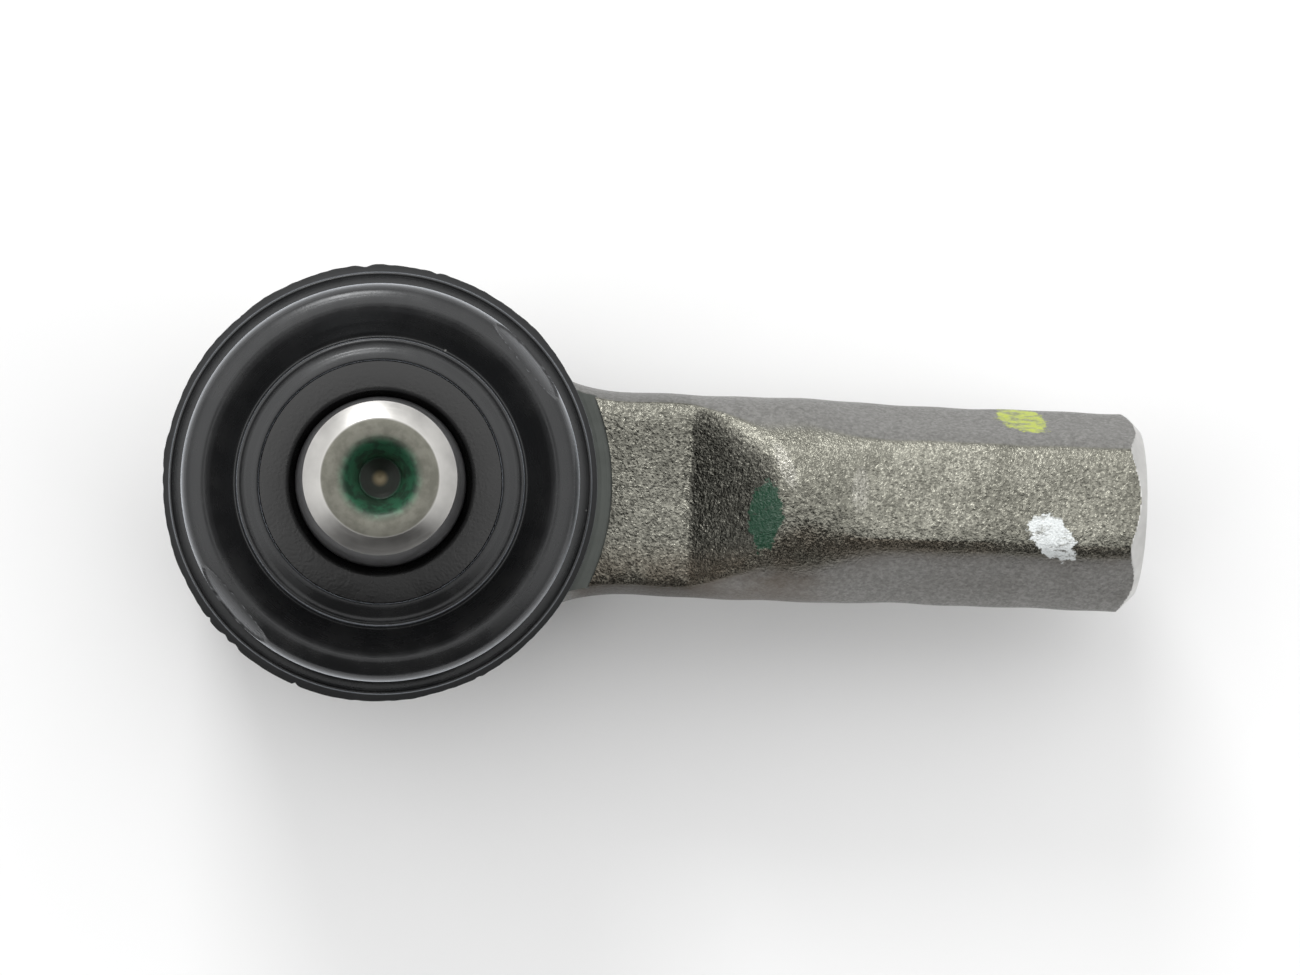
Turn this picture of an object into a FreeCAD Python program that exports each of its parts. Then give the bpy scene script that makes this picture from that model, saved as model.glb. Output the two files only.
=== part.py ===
"""Outer tie rod end: a forged housing with an internally threaded shank, a ball stud that tilts and turns in it,
its bearing seats, spring and cover, and the dust boot that seals the mouth.

Every piece is drawn about the ball's centre, with the stud along +Z and the shank along +X, and is then lifted so
that the housing stands on Z = 0. Lengths are in millimetres.
"""
import FreeCAD
import Part
import math
import os
import re
import Sketcher

SIZES = {
    # overall
    "ball_height": (17.5, "ball centre above the base"),
    "shank_reach": (78.8, "stud axis to the shank's end face"),
    "stud_reach": (61.0, "ball centre to the stud's tip"),
    # ball stud
    "ball_radius": (12.7, "ball"),
    "ball_foot": (1.2, "depth of the flat under the ball"),
    "neck_radius": (6.75, "stud neck"),
    "neck_top": (15.5, "where the neck starts to widen, above the ball centre"),
    "shoulder_length": (3.0, "cone from the neck to the sealing land"),
    "taper_radius": (8.45, "large end of the taper, and the sealing land below it"),
    "taper_start": (23.4, "large end of the taper above the ball centre"),
    "taper_ratio": (8.0, "taper length per unit of diameter"),
    "stud_thread_radius": (7.0, "M14 thread, outside"),
    "stud_thread_length": (15.5, "M14 thread"),
    "tip_chamfer": (1.6, "45 degree chamfer at the tip"),
    "centre_radius": (2.0, "turning centre in the tip"),
    "centre_mouth_radius": (3.2, "countersink of the turning centre"),
    "centre_depth": (3.4, "straight depth of the turning centre"),
    "cotter_radius": (1.6, "cross hole for the nut's split pin"),
    "cotter_drop": (6.4, "cross hole below the tip"),
    # housing head
    "head_radius": (20.5, "outside of the head"),
    "head_round": (2.0, "rolled edge under the head"),
    "ledge_radius": (23.8, "turned ledge cut into the shank's root"),
    "ledge_height": (4.3, "turned ledge above the ball centre"),
    "seat_height": (9.0, "boot seat above the ball centre"),
    "collar_radius": (17.8, "collar that the boot is pressed on"),
    "collar_height": (3.5, "collar above the boot seat"),
    "cavity_radius": (15.0, "bore for the bearing seats"),
    "shoulder_height": (4.5, "top of the straight bore, above the ball centre"),
    "mouth_radius": (11.2, "narrowest part of the mouth"),
    "mouth_height": (7.8, "narrowest part of the mouth, above the ball centre"),
    "flare_radius": (14.2, "mouth at the top of the collar"),
    "rim_thickness": (1.2, "rolled rim that holds the cover"),
    "rim_radius": (14.6, "opening in the rolled rim"),
    "cover_lap": (1.9, "how far the end cover reaches out beyond the bore"),
    "cover_thickness": (1.6, "end cover"),
    "cover_clearance": (0.1, "around the end cover"),
    "dish_radius": (9.0, "flat middle of the end cover"),
    "dish_slope": (1.5, "run of the slope around that flat"),
    # shank
    "shank_radius": (10.45, "shank at the head"),
    "shank_end_radius": (10.75, "shank at the end face, across the rounded corners"),
    "flats_across": (19.0, "hexagon across flats"),
    "hex_roll": (-7.5, "turn of the hexagon about the shank"),
    "hex_sides": (6, "flats"),
    "flat_start": (51.0, "where the flats reach full depth"),
    "flat_runout": (6.0, "ramp that each flat runs out on"),
    "end_chamfer": (1.95, "chamfer at the end face"),
    "neck_above": (5.0, "top of the flattened neck above the shank axis"),
    "neck_below": (8.0, "underside of the flattened neck below the shank axis"),
    "slope_start": (32.5, "where the flattened neck ends"),
    "slope_above": (9.0, "run of the slope up to the round shank"),
    "slope_below": (5.0, "run of the slope down to the round shank"),
    "root_fillet": (15.0, "sweep from the head to the shank, seen from above"),
    "root_inset": (0.15, "how far the root's end lies inside the shank"),
    "bore_radius": (6.188, "M14 x 1.5 thread, inside"),
    "bore_length": (38.0, "full thread depth from the end face"),
    "bore_mouth": (1.1, "countersink of the thread"),
    # bearing seats and spring
    "seat_clearance": (0.1, "bearing seats in the bore"),
    "ball_clearance": (0.1, "ball in the bearing seats"),
    "upper_seat_top": (6.6, "upper bearing seat above the ball centre"),
    "upper_seat_skirt": (2.0, "upper bearing seat below the ball centre"),
    "lower_seat_rim": (3.0, "lower bearing seat's rim below the ball centre"),
    "lower_seat_hole": (5.0, "grease hole in the lower bearing seat"),
    "lower_seat_base": (13.0, "underside of the lower bearing seat below the ball centre"),
    "spring_thickness": (0.8, "disc spring"),
    "spring_radius": (14.0, "disc spring, outside"),
    "spring_hole": (7.0, "disc spring, inside"),
    # boot and its rings
    "fit_gap": (0.05, "rubber to the pieces that it is moulded or stretched over"),
    "ring_thickness": (0.8, "steel base ring"),
    "ring_flange": (21.3, "steel base ring's flange radius"),
    "ring_height": (3.2, "steel base ring's wall"),
    "flange_radius": (22.0, "boot's bottom flange"),
    "flange_height": (2.0, "boot's bottom flange"),
    "boot_wall": (1.8, "boot"),
    "bulge_radius": (19.9, "boot at its widest"),
    "crest_radius": (16.9, "boot's crest"),
    "crest_height": (20.6, "boot's crest above the ball centre"),
    "valley_width": (1.4, "groove between the lip and the bulge"),
    "valley_height": (18.0, "bottom of that groove above the ball centre"),
    "lip_radius": (14.1, "boot's lip"),
    "lip_top": (23.8, "boot's lip above the ball centre"),
    "lip_base": (17.0, "underside of the lip above the ball centre"),
    "slide_radius": (12.0, "slide ring, outside"),
    "slide_top": (24.2, "slide ring above the ball centre"),
    "slide_height": (4.7, "slide ring"),
    "slide_mouth": (0.55, "how much the slide ring's mouth opens"),
    "clamp_radius": (13.05, "clamp ring in the lip, to the middle of its wire"),
    "clamp_wire": (0.55, "clamp ring wire radius"),
    "clamp_height": (20.6, "clamp ring above the ball centre"),
}
FUNCTIONS = {"sqrt", "sin", "cos", "tan"}

doc = FreeCAD.newDocument("TieRodEnd")
sheet = doc.addObject("Spreadsheet::Sheet", "Sizes")
for row, (alias, (value, meaning)) in enumerate(SIZES.items(), start=1):
    sheet.set("A%d" % row, alias)
    sheet.set("B%d" % row, str(value))
    sheet.set("C%d" % row, meaning)
    sheet.setAlias("B%d" % row, alias)
doc.recompute()


def bound(formula):
    """The formula with every size written as a cell of the sheet."""
    return re.sub(r"[a-z_]+", lambda word: word[0] if word[0] in FUNCTIONS else "Sizes." + word[0], formula)


def value(formula):
    """What a formula comes to, from the sheet's present values."""
    return float(sheet.evalExpression(formula))


def plane(body, role):
    """One of the body's own origin planes or axes."""
    return next(feature for feature in body.Origin.OriginFeatures if feature.Role == role)


def new_body(name):
    """A body about the ball's centre, lifted to its height above the base."""
    body = doc.addObject("PartDesign::Body", name)
    body.Label = name
    body.setExpression("Placement.Base.z", bound("ball_height"))
    return body


def arc(radius, side):
    """A profile's edge that is an arc; its centre lies left or right of the way from corner to corner."""
    return {"radius": radius, "left": side == "left"}


def arc_between(start, end, radius, left):
    """The short arc from start to end, drawn counterclockwise as a sketch keeps it."""
    chord = end - start
    offset = math.sqrt(max(radius**2 - (chord.Length / 2) ** 2, 0.0))
    normal = FreeCAD.Vector(-chord.y, chord.x, 0).normalize()
    centre = (start + end) * 0.5 + normal * (offset if left else -offset)
    first, last = (start, end) if left else (end, start)
    angles = [math.atan2(point.y - centre.y, point.x - centre.x) for point in (first, last)]
    return Part.ArcOfCircle(Part.Circle(centre, FreeCAD.Vector(0, 0, 1), radius), *angles)


def outline(body, name, corners, role="XZ_Plane"):
    """A closed sketch on one of the body's planes. Each corner is a pair of formulas, and an arc may stand between."""
    sketch = body.newObject("Sketcher::SketchObject", name)
    sketch.AttachmentSupport = [(plane(body, role), "")]
    sketch.MapMode = "FlatFace"
    points = []
    bends = {}
    for corner in corners:
        if isinstance(corner, tuple):
            points.append(corner)
        else:
            bends[len(points) - 1] = corner
    spots = [FreeCAD.Vector(value(across), value(up), 0) for across, up in points]
    ends = []
    for edge, start in enumerate(spots):
        end = spots[(edge + 1) % len(spots)]
        bend = bends.get(edge)
        if bend:
            sketch.addGeometry(arc_between(start, end, value(bend["radius"]), bend["left"]))
            ends.append((1, 2) if bend["left"] else (2, 1))
        else:
            sketch.addGeometry(Part.LineSegment(start, end))
            ends.append((1, 2))
    for edge in range(len(spots)):
        following = (edge + 1) % len(spots)
        joint = Sketcher.Constraint("Coincident", edge, ends[edge][1], following, ends[following][0])
        sketch.addConstraint(joint)
    for edge, (across, up) in enumerate(points):
        for kind, formula, axis in (("DistanceX", across, -2), ("DistanceY", up, -1)):
            if formula == "0":
                sketch.addConstraint(Sketcher.Constraint("PointOnObject", edge, ends[edge][0], axis))
            else:
                measure = Sketcher.Constraint(kind, -1, 1, edge, ends[edge][0], value(formula))
                bind(sketch, measure, formula)
    for edge, bend in bends.items():
        bind(sketch, Sketcher.Constraint("Radius", edge, value(bend["radius"])), bend["radius"])
    return sketch


def bind(sketch, constraint, formula):
    """Add a dimension to a sketch and tie it to the sheet."""
    sketch.setExpression("Constraints[%d]" % sketch.addConstraint(constraint), bound(formula))


def turned(body, kind, name, corners, axis="Z_Axis"):
    """A Revolution or a Groove about one of the body's axes."""
    feature_type = "PartDesign::" + kind
    sketch = outline(body, name + "_outline", corners)
    feature = body.newObject(feature_type, name)
    feature.Profile = sketch
    feature.ReferenceAxis = (plane(body, axis), [""])
    feature.Angle = 360
    doc.recompute()
    return feature


def must_remove(body, before, name):
    """A cut that points away from the solid removes nothing and shows no error, so its volume is compared."""
    if body.Shape.Volume > before - 1e-3:
        raise RuntimeError("%s cuts nothing" % name)


def cut(body, name, corners, width, roll=None):
    """A pocket through the body, both ways from its XZ plane, which may be rolled about X."""
    before = body.Shape.Volume
    sketch = outline(body, name + "_outline", corners)
    if roll:
        start = FreeCAD.Rotation(FreeCAD.Vector(1, 0, 0), value(roll))
        sketch.AttachmentOffset = FreeCAD.Placement(FreeCAD.Vector(), start)
        sketch.setExpression("AttachmentOffset.Rotation.Angle", bound(roll))
    feature = body.newObject("PartDesign::Pocket", name)
    feature.Profile = sketch
    feature.Midplane = True
    feature.setExpression("Length", bound(width))
    doc.recompute()
    must_remove(body, before, name)
    return feature


def groove(body, name, corners, axis="Z_Axis"):
    """Turn a profile out of the body."""
    before = body.Shape.Volume
    feature = turned(body, "Groove", name, corners, axis)
    must_remove(body, before, name)
    return feature


def build_housing():
    """The forging, then its turned surfaces."""
    body = new_body("housing")
    turned(body, "Revolution", "shank", [
        ("0", "0"),
        ("0", "shank_radius"),
        ("shank_reach - end_chamfer", "shank_end_radius"),
        ("shank_reach", "shank_end_radius - end_chamfer"),
        ("shank_reach", "0"),
    ], "X_Axis")
    build_root(body)
    # the neck's two cuts begin inside the head, and each slope is drawn to twice its length to clear the shank
    inside_head = "head_radius / 5"
    across_root = "4 * head_radius"
    cut(body, "neck_top_cut", [
        (inside_head, "neck_above"),
        ("slope_start", "neck_above"),
        ("slope_start + 2 * slope_above", "2 * shank_radius - neck_above"),
        (inside_head, "2 * shank_radius - neck_above"),
    ], across_root)
    cut(body, "neck_bottom_cut", [
        (inside_head, "-neck_below"),
        ("slope_start", "-neck_below"),
        ("slope_start + 2 * slope_below", "neck_below - 2 * shank_radius"),
        (inside_head, "neck_below - 2 * shank_radius"),
    ], across_root)
    # one flat with the ramp it runs out on, both drawn clear of the shank, then the rest of the hexagon
    flat_depth = "flats_across / 2"
    ramp_top = "2 * shank_end_radius - flats_across / 2"
    flat = cut(body, "flat", [
        ("shank_reach + 1", flat_depth),
        ("flat_start", flat_depth),
        ("flat_start - 2 * flat_runout", ramp_top),
        ("shank_reach + 1", ramp_top),
    ], "3 * shank_end_radius", "hex_roll")
    flats = body.newObject("PartDesign::PolarPattern", "flats")
    flats.Originals = [flat]
    flats.Axis = (plane(body, "X_Axis"), [""])
    flats.Angle = 360
    flats.setExpression("Occurrences", bound("hex_sides"))
    body.Tip = flats
    doc.recompute()
    turned(body, "Revolution", "head", [
        ("0", "-ball_height"),
        ("head_radius - head_round", "-ball_height"),
        arc("head_round", "left"),
        ("head_radius", "head_round - ball_height"),
        ("head_radius", "seat_height"),
        ("collar_radius", "seat_height"),
        ("collar_radius", "seat_height + collar_height"),
        ("0", "seat_height + collar_height"),
    ])
    groove(body, "ledge", [
        ("head_radius", "ledge_height"),
        ("ledge_radius", "ledge_height"),
        ("ledge_radius", "shank_end_radius"),
        ("head_radius", "shank_end_radius"),
    ])
    groove(body, "cavity", [
        ("0", "-ball_height - 1"),
        ("rim_radius", "-ball_height - 1"),
        ("rim_radius", "rim_thickness - ball_height"),
        ("cavity_radius + cover_lap + cover_clearance", "rim_thickness - ball_height"),
        ("cavity_radius + cover_lap + cover_clearance", "rim_thickness + cover_thickness - ball_height"),
        ("cavity_radius", "rim_thickness + cover_thickness - ball_height"),
        ("cavity_radius", "shoulder_height"),
        ("mouth_radius", "mouth_height"),
        ("flare_radius", "seat_height + collar_height"),
        ("flare_radius", "seat_height + collar_height + 1"),
        ("0", "seat_height + collar_height + 1"),
    ])
    groove(body, "shank_bore", [
        ("shank_reach + 1", "0"),
        ("shank_reach + 1", "bore_radius + bore_mouth"),
        ("shank_reach", "bore_radius + bore_mouth"),
        ("shank_reach - bore_mouth", "bore_radius"),
        ("shank_reach - bore_length", "bore_radius"),
        ("shank_reach - bore_length - bore_radius / 2", "0"),
    ], "X_Axis")
    return body


def build_root(body):
    """The sweep from the head into the shank: stretched shank sections, each as wide as an arc in plan makes it."""
    stations = 5
    width = "(shank_radius - root_inset)"
    top, bottom = "(neck_above + 2)", "(neck_below + 1)"
    half_top = "sqrt(%s ^ 2 - %s ^ 2)" % (width, top)
    half_bottom = "sqrt(%s ^ 2 - %s ^ 2)" % (width, bottom)
    sweep_centre = "sqrt((head_radius + root_fillet) ^ 2 - (shank_radius + root_fillet) ^ 2)"
    sweep_start = "(%s * head_radius / (head_radius + root_fillet))" % sweep_centre
    sketches = []
    for station in range(stations):
        share = "%d / %d" % (station, stations - 1)
        reach = "(%s + (%s - %s) * %s)" % (sweep_start, sweep_centre, sweep_start, share)
        spread = "(root_fillet - sqrt(root_fillet ^ 2 - (%s - %s) ^ 2))" % (sweep_centre, reach)
        sketch = outline(body, "root_section_%d" % station, [
            ("%s + %s" % (spread, half_top), top),
            ("-%s - %s" % (spread, half_top), top),
            arc(width, "left"),
            ("-%s - %s" % (spread, half_bottom), "-" + bottom),
            ("%s + %s" % (spread, half_bottom), "-" + bottom),
            arc(width, "left"),
        ], "YZ_Plane")
        sketch.setExpression("AttachmentOffset.Base.z", bound(reach))
        sketches.append(sketch)
    root = body.newObject("PartDesign::AdditiveLoft", "root")
    root.Profile = sketches[0]
    root.Sections = sketches[1:]
    doc.recompute()


def build_end_cover():
    """The pressed disc under the head; its middle is dished out until it is level with the rolled rim."""
    body = new_body("end_cover")
    turned(body, "Revolution", "disc", [
        ("0", "-ball_height"),
        ("dish_radius", "-ball_height"),
        ("dish_radius + dish_slope", "rim_thickness - ball_height"),
        ("cavity_radius + cover_lap", "rim_thickness - ball_height"),
        ("cavity_radius + cover_lap", "rim_thickness + cover_thickness - ball_height"),
        ("dish_radius + dish_slope", "rim_thickness + cover_thickness - ball_height"),
        ("dish_radius", "cover_thickness - ball_height"),
        ("0", "cover_thickness - ball_height"),
    ])
    return body


def build_preload_spring():
    """The disc spring: its outer edge stands on the cover and its inner edge lifts the lower bearing seat."""
    body = new_body("preload_spring")
    foot = "rim_thickness + cover_thickness - ball_height"
    turned(body, "Revolution", "disc", [
        ("spring_radius", foot),
        ("spring_radius", foot + " + spring_thickness"),
        ("spring_hole", "-lower_seat_base"),
        ("spring_hole", "-lower_seat_base - spring_thickness"),
    ])
    return body


def build_lower_bearing_seat():
    """The cup that the spring presses against the underside of the ball."""
    body = new_body("lower_bearing_seat")
    socket = "(ball_radius + ball_clearance)"
    turned(body, "Revolution", "cup", [
        ("lower_seat_hole", "-lower_seat_base"),
        ("cavity_radius - seat_clearance", "-lower_seat_base"),
        ("cavity_radius - seat_clearance", "-lower_seat_rim"),
        ("sqrt(%s ^ 2 - lower_seat_rim ^ 2)" % socket, "-lower_seat_rim"),
        arc(socket, "right"),
        ("lower_seat_hole", "-sqrt(%s ^ 2 - lower_seat_hole ^ 2)" % socket),
    ])
    return body


def build_upper_bearing_seat():
    """The ring between the upper half of the ball and the housing's shoulder."""
    body = new_body("upper_bearing_seat")
    socket = "(ball_radius + ball_clearance)"
    slope = "(cavity_radius - mouth_radius) / (mouth_height - shoulder_height)"
    outer = "cavity_radius - seat_clearance"
    turned(body, "Revolution", "ring", [
        ("sqrt(%s ^ 2 - upper_seat_skirt ^ 2)" % socket, "-upper_seat_skirt"),
        (outer, "-upper_seat_skirt"),
        (outer, "shoulder_height"),
        (outer + " - (upper_seat_top - shoulder_height) * " + slope, "upper_seat_top"),
        ("sqrt(%s ^ 2 - upper_seat_top ^ 2)" % socket, "upper_seat_top"),
        arc(socket, "right"),
    ])
    return body


def build_ball_stud():
    """Ball, neck, sealing land, taper and thread, turned in one piece, with a cross hole for a split pin."""
    body = new_body("ball_stud")
    foot_height = "(ball_radius - ball_foot)"
    taper_end = "stud_reach - stud_thread_length"
    small_end = "taper_radius - (%s - taper_start) / (2 * taper_ratio)" % taper_end
    turned(body, "Revolution", "turning", [
        ("0", "-" + foot_height),
        ("sqrt(ball_radius ^ 2 - %s ^ 2)" % foot_height, "-" + foot_height),
        arc("ball_radius", "left"),
        ("ball_radius", "0"),
        arc("ball_radius", "left"),
        ("neck_radius", "sqrt(ball_radius ^ 2 - neck_radius ^ 2)"),
        ("neck_radius", "neck_top"),
        ("taper_radius", "neck_top + shoulder_length"),
        ("taper_radius", "taper_start"),
        (small_end, taper_end),
        ("stud_thread_radius", taper_end),
        ("stud_thread_radius", "stud_reach - tip_chamfer"),
        ("stud_thread_radius - tip_chamfer", "stud_reach"),
        ("centre_mouth_radius", "stud_reach"),
        ("centre_radius", "stud_reach + centre_radius - centre_mouth_radius"),
        ("centre_radius", "stud_reach - centre_depth"),
        ("0", "stud_reach - centre_depth - centre_radius / 2"),
    ])
    before = body.Shape.Volume
    sketch = body.newObject("Sketcher::SketchObject", "cross_hole_outline")
    sketch.AttachmentSupport = [(plane(body, "XZ_Plane"), "")]
    sketch.MapMode = "FlatFace"
    centre = FreeCAD.Vector(0, value("stud_reach - cotter_drop"), 0)
    up = FreeCAD.Vector(0, 0, 1)
    sketch.addGeometry(Part.Circle(centre, up, value("cotter_radius")))
    sketch.addConstraint(Sketcher.Constraint("PointOnObject", 0, 3, -2))
    bind(sketch, Sketcher.Constraint("DistanceY", -1, 1, 0, 3, centre.y), "stud_reach - cotter_drop")
    bind(sketch, Sketcher.Constraint("Radius", 0, value("cotter_radius")), "cotter_radius")
    hole = body.newObject("PartDesign::Pocket", "cross_hole")
    hole.Profile = sketch
    hole.Midplane = True
    hole.setExpression("Length", bound("4 * stud_thread_radius"))
    doc.recompute()
    must_remove(body, before, "cross_hole")
    return body


def build_boot_base_ring():
    """The steel ring moulded into the boot's foot and pressed over the housing's collar."""
    body = new_body("boot_base_ring")
    turned(body, "Revolution", "angle_section", [
        ("collar_radius", "seat_height"),
        ("ring_flange", "seat_height"),
        ("ring_flange", "seat_height + ring_thickness"),
        ("collar_radius + ring_thickness", "seat_height + ring_thickness"),
        ("collar_radius + ring_thickness", "seat_height + ring_height"),
        ("collar_radius", "seat_height + ring_height"),
    ])
    return body


def build_dust_boot():
    """The rubber boot: flange over the base ring, bulge, groove and lip, as a hollow ring of one wall."""
    body = new_body("dust_boot")
    ring_side = "collar_radius + ring_thickness + fit_gap"
    ring_cover = "seat_height + ring_thickness + fit_gap"
    bulge = "(bulge_radius - crest_radius)"
    bulge_height = "crest_height - %s" % bulge
    inside = "bulge_radius - boot_wall"
    groove_outer = "lip_radius + valley_width"
    turned(body, "Revolution", "shell", [
        ("ring_flange + fit_gap", "seat_height + fit_gap"),
        ("flange_radius", "seat_height + fit_gap"),
        ("flange_radius", "seat_height + flange_height"),
        ("bulge_radius", "seat_height + flange_height"),
        ("bulge_radius", bulge_height),
        arc(bulge, "left"),
        ("crest_radius", "crest_height"),
        (groove_outer, "crest_height - boot_wall / 3"),
        ("lip_radius + valley_width / 2", "valley_height"),
        ("lip_radius", "valley_height + valley_width"),
        ("lip_radius", "lip_top"),
        ("slide_radius + fit_gap", "lip_top"),
        ("slide_radius + fit_gap", "lip_base"),
        ("lip_radius + valley_width / 2", "valley_height - boot_wall"),
        ("crest_radius - boot_wall / 3", "crest_height - boot_wall"),
        ("crest_radius", "crest_height - boot_wall"),
        arc(bulge + " - boot_wall", "right"),
        (inside, bulge_height),
        (inside, "seat_height + ring_height + boot_wall"),
        (ring_side, "seat_height + ring_height"),
        (ring_side, ring_cover),
        ("ring_flange + fit_gap", ring_cover),
    ])
    groove_about_clamp(body)
    return body


def groove_about_clamp(body):
    """The round channel in the lip that the clamp ring lies in."""
    before = body.Shape.Volume
    sketch = body.newObject("Sketcher::SketchObject", "clamp_channel_outline")
    sketch.AttachmentSupport = [(plane(body, "XZ_Plane"), "")]
    sketch.MapMode = "FlatFace"
    centre = FreeCAD.Vector(value("clamp_radius"), value("clamp_height"), 0)
    wire = "clamp_wire + fit_gap"
    sketch.addGeometry(Part.Circle(centre, FreeCAD.Vector(0, 0, 1), value(wire)))
    bind(sketch, Sketcher.Constraint("DistanceX", -1, 1, 0, 3, centre.x), "clamp_radius")
    bind(sketch, Sketcher.Constraint("DistanceY", -1, 1, 0, 3, centre.y), "clamp_height")
    bind(sketch, Sketcher.Constraint("Radius", 0, value(wire)), wire)
    channel = body.newObject("PartDesign::Groove", "clamp_channel")
    channel.Profile = sketch
    channel.ReferenceAxis = (plane(body, "Z_Axis"), [""])
    channel.Angle = 360
    doc.recompute()
    must_remove(body, before, "clamp_channel")


def build_upper_clamp_ring():
    """The wire ring in the boot's lip."""
    ring = doc.addObject("Part::Torus", "upper_clamp_ring")
    ring.Label = "upper_clamp_ring"
    ring.setExpression("Radius1", bound("clamp_radius"))
    ring.setExpression("Radius2", bound("clamp_wire"))
    ring.setExpression("Placement.Base.z", bound("ball_height + clamp_height"))
    return ring


def build_lip_slide_ring():
    """The ring in the lip that the stud's sealing land turns in; its mouth opens upwards."""
    body = new_body("lip_slide_ring")
    bore = "taper_radius + fit_gap"
    turned(body, "Revolution", "ring", [
        (bore, "slide_top - slide_height"),
        ("slide_radius", "slide_top - slide_height"),
        ("slide_radius", "slide_top"),
        (bore + " + slide_mouth", "slide_top"),
        (bore, "slide_top - 2 * slide_mouth"),
    ])
    return body


def check(pieces):
    """Stop before anything is written if an object failed or a piece isn't one sound solid."""
    doc.recompute()
    for item in doc.Objects:
        if {"Invalid", "Error"} & set(item.State):
            raise RuntimeError("%s failed: %s" % (item.Name, item.State))
    for piece in pieces:
        if piece.Shape.isNull() or not piece.Shape.isValid() or len(piece.Shape.Solids) != 1:
            raise RuntimeError("%s isn't one sound solid" % piece.Label)


PIECES = [
    build_housing(),
    build_end_cover(),
    build_preload_spring(),
    build_lower_bearing_seat(),
    build_upper_bearing_seat(),
    build_ball_stud(),
    build_boot_base_ring(),
    build_dust_boot(),
    build_upper_clamp_ring(),
    build_lip_slide_ring(),
]
check(PIECES)
os.makedirs("parts", exist_ok=True)
for piece in PIECES:
    piece.Shape.exportStep("parts/%s.step" % piece.Label)
    print("%-20s %9.1f mm3" % (piece.Label, piece.Shape.Volume))
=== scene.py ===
"""Looks of the outer tie rod end: forged housing, turned ball stud, black rubber boot, on a pale floor.

Everything is in metres in the frame of the CAD part: the stud stands along +Z, the shank lies along +X and
the head stands on Z = 0. Shapes are written in millimetres about the ball's centre, and shape_mesh() places
them.
"""
import bmesh
import bpy
import math
import numpy as np
from mathutils import Matrix, Vector


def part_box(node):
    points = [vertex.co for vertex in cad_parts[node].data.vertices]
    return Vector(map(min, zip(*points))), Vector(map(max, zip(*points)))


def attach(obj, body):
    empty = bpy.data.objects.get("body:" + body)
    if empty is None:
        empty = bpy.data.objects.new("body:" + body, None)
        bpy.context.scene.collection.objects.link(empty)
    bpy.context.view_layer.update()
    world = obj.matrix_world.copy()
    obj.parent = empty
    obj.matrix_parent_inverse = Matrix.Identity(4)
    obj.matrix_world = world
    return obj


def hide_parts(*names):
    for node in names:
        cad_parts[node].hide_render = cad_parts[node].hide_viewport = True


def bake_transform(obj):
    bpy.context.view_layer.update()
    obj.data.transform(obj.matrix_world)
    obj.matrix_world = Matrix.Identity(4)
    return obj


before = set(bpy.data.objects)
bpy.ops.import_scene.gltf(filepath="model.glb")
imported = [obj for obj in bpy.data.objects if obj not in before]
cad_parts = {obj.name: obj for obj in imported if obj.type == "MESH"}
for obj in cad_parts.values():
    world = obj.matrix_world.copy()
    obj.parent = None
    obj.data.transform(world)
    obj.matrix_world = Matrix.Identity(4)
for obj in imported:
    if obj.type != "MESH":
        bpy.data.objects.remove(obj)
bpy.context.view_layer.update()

MM = 0.001
STUD_REACH = 61.0  # tip of the stud above the ball's centre
BALL_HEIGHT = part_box("ball_stud")[1][2] / MM - STUD_REACH
SHANK_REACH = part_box("housing")[1][0] / MM
ON_AXIS = 0.01  # radius of an outline's ends, just off the axis it is turned about
random = np.random.default_rng(7)


# ---------------------------------------------------------------- meshes

def shape_mesh(name, points, faces, material, smooth_angle=35.0):
    """A mesh object from points in millimetres about the ball's centre."""
    mesh = bpy.data.meshes.new(name)
    placed = (np.asarray(points, float) + (0.0, 0.0, BALL_HEIGHT)) * MM
    mesh.from_pydata(placed.tolist(), [], faces)
    mesh.validate()
    mesh.shade_smooth()
    mesh.set_sharp_from_angle(angle=math.radians(smooth_angle))
    piece = bpy.data.objects.new(name, mesh)
    bpy.context.scene.collection.objects.link(piece)
    mesh.materials.append(material)
    return piece


def grid_faces(rows, columns, close_rows):
    """Quads of a grid whose columns always close into rings; close_rows joins the last row to the first."""
    faces = []
    for row in range(rows if close_rows else rows - 1):
        following = (row + 1) % rows
        for column in range(columns):
            side = (column + 1) % columns
            faces.append((
                row * columns + column, row * columns + side,
                following * columns + side, following * columns + column,
            ))
    return faces


def capped_grid(grid):
    """Points and faces of rings from a first to a last row, each end closed by a fan about its middle."""
    rows, columns = grid.shape[:2]
    faces = grid_faces(rows, columns, False)
    points = np.concatenate([grid.reshape(-1, 3), [grid[0].mean(axis=0)], [grid[-1].mean(axis=0)]])
    first, last = rows * columns, rows * columns + 1
    for column in range(columns):
        side = (column + 1) % columns
        faces.append((side, column, first))
        faces.append(((rows - 1) * columns + column, (rows - 1) * columns + side, last))
    return points, faces


def smooth_line(corners, steps):
    """A Catmull-Rom curve through the corners, with that many steps from each to the next."""
    corners = np.asarray(corners, float)
    last = len(corners) - 1
    line = []
    for span in range(last):
        a, b, c, d = (corners[min(max(span + shift, 0), last)] for shift in (-1, 0, 1, 2))
        for step in range(steps):
            t = step / steps
            bend = (2 * a - 5 * b + 4 * c - d) * t**2 + (3 * b - a - 3 * c + d) * t**3
            line.append(0.5 * (2 * b + (c - a) * t + bend))
    line.append(corners[-1])
    return np.array(line)


def ring_grid(profile, columns):
    """The profile's (radius, height) points turned about the stud's axis."""
    turn = np.linspace(0, 2 * math.pi, columns, endpoint=False)
    grid = np.empty((len(profile), columns, 3))
    grid[:, :, 0] = profile[:, :1] * np.cos(turn)
    grid[:, :, 1] = profile[:, :1] * np.sin(turn)
    grid[:, :, 2] = profile[:, 1:]
    return grid


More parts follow.
